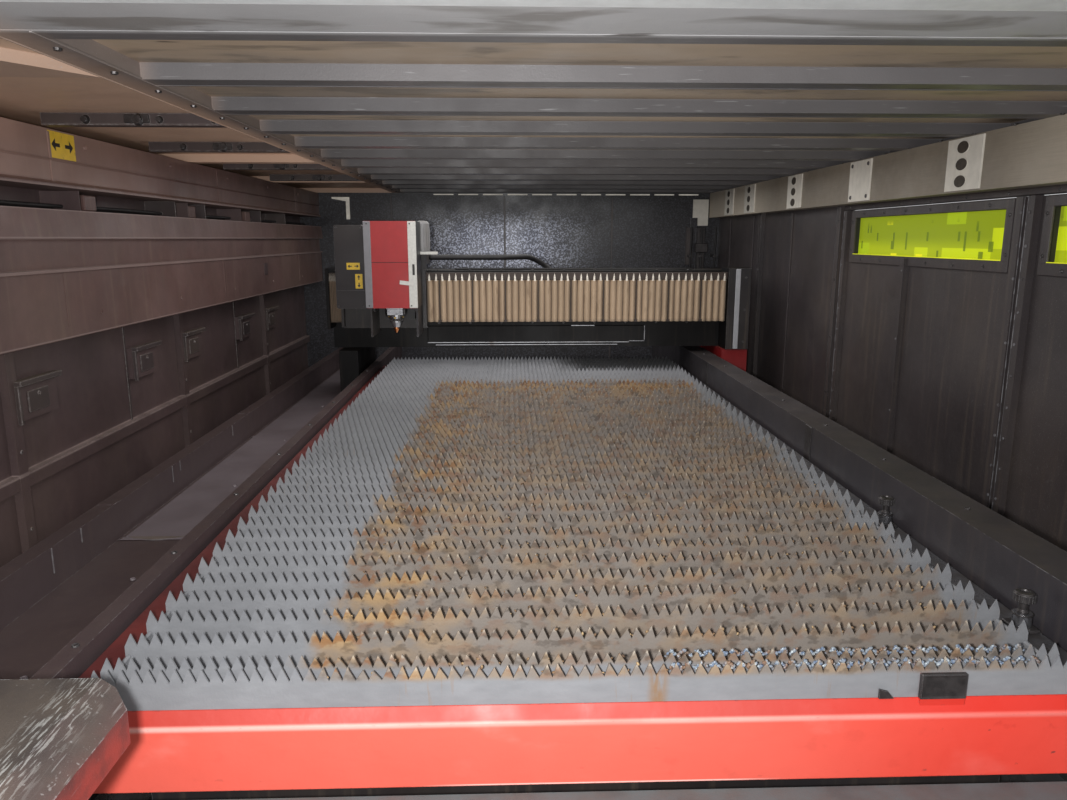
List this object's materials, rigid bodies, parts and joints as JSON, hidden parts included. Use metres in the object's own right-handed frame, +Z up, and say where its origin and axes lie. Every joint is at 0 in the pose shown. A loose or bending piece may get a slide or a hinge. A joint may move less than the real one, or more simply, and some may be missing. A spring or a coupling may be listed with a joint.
{
  "type": "fiber laser cutting machine",
  "caption": "Enclosed fiber laser cutter: gantry with bellows and red head cover over a red slatted exchange pallet, raised front door, side windows, rear cabinet.",
  "frame": {"origin": "on the floor, at the middle of the machine's box", "axes": "+Z up, +Y from the loading station into the cabin and to the rear cabinet, +X to the right as seen from the loading station"},
  "size_m": [2.88, 8.36, 2.42],
  "materials": {
    "frame_black": "satin black paint with dust",
    "rail_steel": "ground steel",
    "cover_black": "powder coat with worn edges",
    "roof_grey": "primer with brown dust",
    "wall_black": "textured powder coat with dust",
    "skin_white": "smooth powder coat",
    "pallet_red": "gloss paint, worn at its edges",
    "slat_grey": "raw sheet with heat marks and rust",
    "clamp_steel": "dark burnished steel",
    "duct_grey": "grey paint with dust",
    "bellows_tan": "dusty coated cloth",
    "head_red": "satin powder coat",
    "guard_grey": "light grey powder coat",
    "window_green": "laser-safe tinted acrylic",
    "copper": "turned copper",
    "rubber_black": "matt",
    "wheel_grey": "turned steel",
    "console_grey": "textured powder coat",
    "stop_red": "moulded"
  },
  "bodies": {
    "machine": {"bed_frame": "frame_black", "gantry_rail_left": "rail_steel", "gantry_rail_right": "rail_steel", "pallet_rail_left": "rail_steel", "pallet_rail_right": "rail_steel", "rail_cover_left": "cover_black", "rail_cover_right": "cover_black", "left_tray": "cover_black", "slag_hopper": "frame_black", "front_frame": "skin_white", "roof": "roof_grey", "left_wall": "wall_black", "left_hood": "wall_black", "left_hood_top": "wall_black", "right_wall": "wall_black", "cable_duct": "duct_grey", "back_wall": "wall_black", "cabinet": "skin_white", "laser_source": "guard_grey", "station_frame": "frame_black", "drive_hood": "cover_black"},
    "gantry": {"gantry_beam": "frame_black", "saddle_left": "frame_black", "saddle_right": "pallet_red", "end_guard": "guard_grey", "bellows_left": "bellows_tan", "bellows_right": "bellows_tan", "conduit": "rubber_black"},
    "carriage": {"carriage_frame": "frame_black", "electronics_box": "cover_black", "head_cover": "head_red", "z_motor": "guard_grey"},
    "head": {"cutting_head": "clamp_steel", "nozzle": "copper"},
    "pallet": {"pallet_frame": "pallet_red", "slat_bank_front": "slat_grey", "slat_bank_rear": "slat_grey", "edge_strip": "rail_steel"},
    "roller_front_left": {"wheel_front_left": "wheel_grey"},
    "roller_front_right": {"wheel_front_right": "wheel_grey"},
    "roller_rear_left": {"wheel_rear_left": "wheel_grey"},
    "roller_rear_right": {"wheel_rear_right": "wheel_grey"},
    "clamp_front": {"clamp_knob_front": "clamp_steel"},
    "clamp_rear": {"clamp_knob_rear": "clamp_steel"},
    "leaf_lower": {"door_leaf_lower": "skin_white"},
    "leaf_upper": {"door_leaf_upper": "skin_white"},
    "door_front": {"side_door_front": "wall_black", "window_front": "window_green"},
    "door_rear": {"side_door_rear": "wall_black", "window_rear": "window_green"},
    "cabinet_left": {"cabinet_door_left": "skin_white"},
    "cabinet_right": {"cabinet_door_right": "skin_white"},
    "handle_left": {"cabinet_handle_left": "rubber_black"},
    "handle_right": {"cabinet_handle_right": "rubber_black"},
    "drawer_front": {"scrap_drawer_front": "frame_black"},
    "drawer_rear": {"scrap_drawer_rear": "frame_black"},
    "panel": {"console_arm": "guard_grey", "console": "console_grey"},
    "stop": {"stop_button": "stop_red"}
  },
  "joints": [
    {"name": "gantry_travel", "type": "slide", "parent": "machine", "child": "gantry", "axis": [0, -1, 0], "range_m": [-0.3, 2.72]},
    {"name": "carriage_travel", "type": "slide", "parent": "gantry", "child": "carriage", "axis": [1, 0, 0], "range_m": [-0.02, 1.44], "deforming": ["bellows_right", "bellows_left", "conduit"]},
    {"name": "head_lift", "type": "slide", "parent": "carriage", "child": "head", "axis": [0, 0, -1], "range_m": [0, 0.17]},
    {"name": "pallet_travel", "type": "slide", "parent": "machine", "child": "pallet", "axis": [0, -1, 0], "range_m": [0, 3.35]},
    {"name": "wheel_front_left_spin", "type": "hinge", "parent": "pallet", "child": "roller_front_left", "pos_m": [-0.705, -0.42, 0.7453], "axis": [1, 0, 0], "continuous": true},
    {"name": "wheel_front_right_spin", "type": "hinge", "parent": "pallet", "child": "roller_front_right", "pos_m": [0.905, -0.42, 0.7453], "axis": [1, 0, 0], "continuous": true},
    {"name": "wheel_rear_left_spin", "type": "hinge", "parent": "pallet", "child": "roller_rear_left", "pos_m": [-0.705, 2.36, 0.7453], "axis": [1, 0, 0], "continuous": true},
    {"name": "wheel_rear_right_spin", "type": "hinge", "parent": "pallet", "child": "roller_rear_right", "pos_m": [0.905, 2.36, 0.7453], "axis": [1, 0, 0], "continuous": true},
    {"name": "clamp_front_turn", "type": "hinge", "parent": "pallet", "child": "clamp_front", "pos_m": [0.89, -0.5, 0.9363], "axis": [0, 0, 1], "range_deg": [0, 180]},
    {"name": "clamp_rear_turn", "type": "hinge", "parent": "pallet", "child": "clamp_rear", "pos_m": [0.89, 0.03, 0.9363], "axis": [0, 0, 1], "range_deg": [0, 180]},
    {"name": "door_lower_lift", "type": "slide", "parent": "machine", "child": "leaf_lower", "axis": [0, 0, -1], "range_m": [0, 0.895]},
    {"name": "door_upper_lift", "type": "slide", "parent": "machine", "child": "leaf_upper", "axis": [0, 0, -1], "range_m": [0, 0.4475]},
    {"name": "door_front_swing", "type": "hinge", "parent": "machine", "child": "door_front", "pos_m": [1.409, -0.623, 1.17], "axis": [0, 0, -1], "range_deg": [0, 100]},
    {"name": "door_rear_swing", "type": "hinge", "parent": "machine", "child": "door_rear", "pos_m": [1.409, 0.362, 1.17], "axis": [0, 0, -1], "range_deg": [0, 100]},
    {"name": "cabinet_left_swing", "type": "hinge", "parent": "machine", "child": "cabinet_left", "pos_m": [-1.3, 4.1503, 0.905], "axis": [0, 0, 1], "range_deg": [0, 110]},
    {"name": "cabinet_right_swing", "type": "hinge", "parent": "machine", "child": "cabinet_right", "pos_m": [1.3, 4.1503, 0.905], "axis": [0, 0, -1], "range_deg": [0, 110]},
    {"name": "handle_left_turn", "type": "hinge", "parent": "cabinet_left", "child": "handle_left", "pos_m": [-0.05, 4.1506, 0.95], "axis": [0, 1, 0], "range_deg": [0, 90]},
    {"name": "handle_right_turn", "type": "hinge", "parent": "cabinet_right", "child": "handle_right", "pos_m": [0.05, 4.1506, 0.95], "axis": [0, -1, 0], "range_deg": [0, 90]},
    {"name": "drawer_front_slide", "type": "slide", "parent": "machine", "child": "drawer_front", "axis": [1, 0, 0], "range_m": [0, 0.9]},
    {"name": "drawer_rear_slide", "type": "slide", "parent": "machine", "child": "drawer_rear", "axis": [1, 0, 0], "range_m": [0, 0.9]},
    {"name": "console_swivel", "type": "hinge", "parent": "machine", "child": "panel", "pos_m": [1.34, -0.9083, 1.62], "axis": [0, 0, 1], "range_deg": [-15, 60]},
    {"name": "stop_press", "type": "slide", "parent": "panel", "child": "stop", "axis": [0, 0, -1], "range_m": [0, 0.005], "stiffness_N_per_m": 800, "springref_m": -0.004}
  ],
  "couplings": [
    {"joint": "wheel_front_left_spin", "follows": "pallet_travel", "rad_per_m": 28.571},
    {"joint": "wheel_front_right_spin", "follows": "pallet_travel", "rad_per_m": 28.571},
    {"joint": "wheel_rear_left_spin", "follows": "pallet_travel", "rad_per_m": 28.571},
    {"joint": "wheel_rear_right_spin", "follows": "pallet_travel", "rad_per_m": 28.571},
    {"joint": "door_upper_lift", "follows": "door_lower_lift", "ratio": 0.5}
  ]
}
